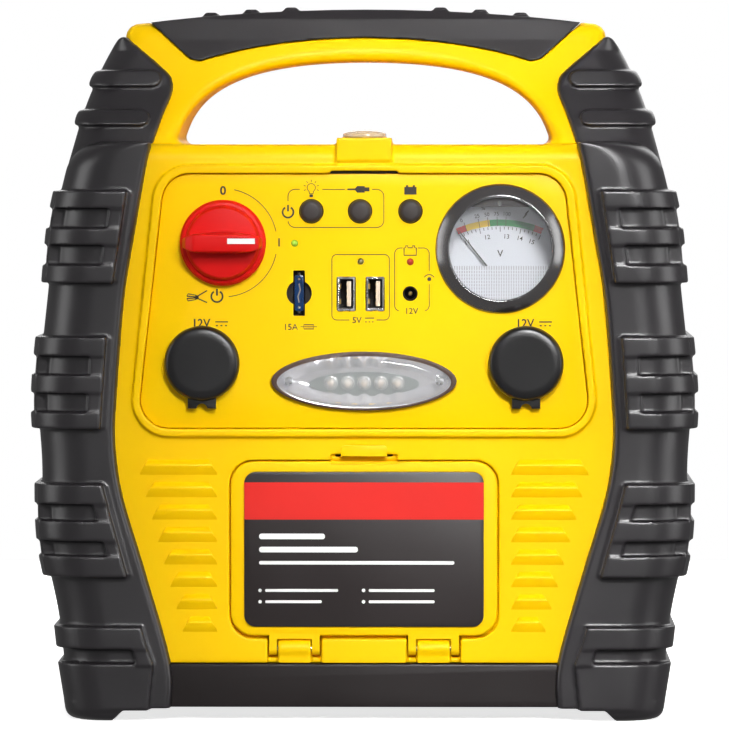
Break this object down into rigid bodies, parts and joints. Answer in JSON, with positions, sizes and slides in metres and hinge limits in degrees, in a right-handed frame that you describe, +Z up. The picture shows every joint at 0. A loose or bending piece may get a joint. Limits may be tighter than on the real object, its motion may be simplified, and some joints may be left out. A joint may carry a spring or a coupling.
{
  "type": "jump starter pack",
  "caption": "Portable 12 V car jump starter with carry handle, rubber bumpers, air compressor, work lamp, USB and accessory sockets, voltmeter and a hinged storage door",
  "frame": {"origin": "middle of the bounding box on the plane that the feet stand on", "axes": "+Z up, -Y out of the front with the control panel, +X to the right seen from the front"},
  "size_m": [0.283, 0.16, 0.3042],
  "materials": {
    "case_yellow": "satin moulded",
    "bumper_rubber": "fine matt grain",
    "grip_rubber": "fine matt grain",
    "base_black": "fine matt grain",
    "knob_red": "satin",
    "button_grey": "matt",
    "fuse_blue": "glossy",
    "black_plastic": "semi-matt",
    "steel": "bright",
    "brass": "satin",
    "clear_lens": "polished clear",
    "lamp_chrome": "polished",
    "led_clear": "polished",
    "led_green": "polished",
    "led_red": "polished",
    "label_black": "satin print",
    "dial_white": "printed card",
    "needle_black": "matt",
    "shroud_white": "frosted, ribbed",
    "board_green": "solder mask",
    "battery_case": "matt",
    "gear_white": "moulded",
    "cast_metal": "cast"
  },
  "bodies": {
    "pack": {"front_case": "case_yellow", "rear_case": "case_yellow", "control_panel": "case_yellow", "right_bumper": "bumper_rubber", "left_bumper": "bumper_rubber", "grip_pad": "grip_rubber", "base_tray": "base_black", "mode_switch": "black_plastic", "button_board": "board_green", "fuse_holder": "black_plastic", "usb_socket_left": "steel", "usb_socket_right": "steel", "charge_jack": "black_plastic", "power_led": "led_green", "charge_led": "led_red", "voltmeter_bezel": "black_plastic", "voltmeter_lens": "clear_lens", "voltmeter_case": "black_plastic", "voltmeter_dial": "dial_white", "voltmeter_shroud": "shroud_white", "socket_left": "black_plastic", "socket_right": "black_plastic", "lamp_screw_left": "steel", "lamp_screw_right": "steel", "door_pin_left": "steel", "door_pin_right": "steel", "lamp_reflector": "lamp_chrome", "lamp_lens": "clear_lens", "lamp_board": "led_clear", "storage_bin": "black_plastic", "battery": "battery_case", "battery_strap": "steel", "main_board": "board_green", "compressor_motor": "steel", "pump_body": "cast_metal", "gauge_body": "brass", "gauge_lens": "clear_lens", "lead_gland": "black_plastic", "hose_outlet": "brass", "compressor_switch": "black_plastic", "case_screw_1": "steel", "case_screw_2": "steel", "case_screw_3": "steel", "case_screw_4": "steel"},
    "mode_knob": {"mode_knob": "knob_red"},
    "light_button": {"light_button": "button_grey"},
    "usb_button": {"usb_button": "button_grey"},
    "battery_button": {"battery_button": "button_grey"},
    "blade_fuse": {"blade_fuse": "fuse_blue"},
    "voltmeter_needle": {"voltmeter_needle": "needle_black"},
    "socket_cap_left": {"socket_cap_left": "bumper_rubber"},
    "socket_cap_right": {"socket_cap_right": "bumper_rubber"},
    "door": {"storage_door": "case_yellow", "door_label": "label_black"},
    "door_latch": {"door_latch": "case_yellow"},
    "crank": {"crank_gear": "gear_white"},
    "pinion": {"motor_pinion": "brass"},
    "piston": {"piston_rod": "cast_metal"},
    "gauge_needle": {"gauge_needle": "needle_black"},
    "rocker": {"compressor_rocker": "black_plastic"}
  },
  "joints": [
    {"name": "mode_knob_turn", "type": "hinge", "parent": "pack", "child": "mode_knob", "pos_m": [-0.0599, -0.0625, 0.2032], "axis": [0, 1, 0], "range_deg": [-90, 90]},
    {"name": "light_button_press", "type": "slide", "parent": "pack", "child": "light_button", "axis": [0, 1, 0], "range_m": [0, 0.0015], "stiffness_N_per_m": 250},
    {"name": "usb_button_press", "type": "slide", "parent": "pack", "child": "usb_button", "axis": [0, 1, 0], "range_m": [0, 0.0015], "stiffness_N_per_m": 250},
    {"name": "battery_button_press", "type": "slide", "parent": "pack", "child": "battery_button", "axis": [0, 1, 0], "range_m": [0, 0.0015], "stiffness_N_per_m": 250},
    {"name": "blade_fuse_pull", "type": "slide", "parent": "pack", "child": "blade_fuse", "axis": [0, -1, 0], "range_m": [0, 0.016]},
    {"name": "voltmeter_needle_swing", "type": "hinge", "parent": "pack", "child": "voltmeter_needle", "pos_m": [0.0579, -0.0482, 0.1859], "axis": [0, 1, 0], "range_deg": [0, 77], "stiffness_Nm_per_rad": 0.0002},
    {"name": "socket_cap_left_swing", "type": "hinge", "parent": "pack", "child": "socket_cap_left", "pos_m": [-0.0688, -0.0644, 0.1343], "axis": [1, 0, 0], "range_deg": [0, 105]},
    {"name": "socket_cap_right_swing", "type": "hinge", "parent": "pack", "child": "socket_cap_right", "pos_m": [0.0688, -0.0644, 0.1343], "axis": [1, 0, 0], "range_deg": [0, 105]},
    {"name": "door_swing", "type": "hinge", "parent": "pack", "child": "door", "pos_m": [0, -0.0595, 0.0305], "axis": [1, 0, 0], "range_deg": [0, 95]},
    {"name": "door_latch_slide", "type": "slide", "parent": "pack", "child": "door_latch", "axis": [0, 0, 1], "range_m": [0, 0.002], "stiffness_N_per_m": 400},
    {"name": "crank_spin", "type": "hinge", "parent": "pack", "child": "crank", "pos_m": [0.009, 0.016, 0.219], "axis": [1, 0, 0], "continuous": true},
    {"name": "pinion_spin", "type": "hinge", "parent": "pack", "child": "pinion", "pos_m": [0.009, 0.04035, 0.219], "axis": [1, 0, 0], "continuous": true},
    {"name": "piston_stroke", "type": "slide", "parent": "pack", "child": "piston", "axis": [0, 1, 0], "range_m": [0, 0.016]},
    {"name": "gauge_needle_swing", "type": "hinge", "parent": "pack", "child": "gauge_needle", "pos_m": [0, -0.044, 0.2463], "axis": [0, 0, 1], "range_deg": [-270, 0], "stiffness_Nm_per_rad": 0.0001},
    {"name": "compressor_rocker_tip", "type": "hinge", "parent": "pack", "child": "rocker", "pos_m": [-0.065, 0.0695, 0.214], "axis": [0, 0, 1], "range_deg": [-18, 0]}
  ],
  "couplings": [
    {"joint": "pinion_spin", "follows": "crank_spin", "ratio": -3}
  ]
}
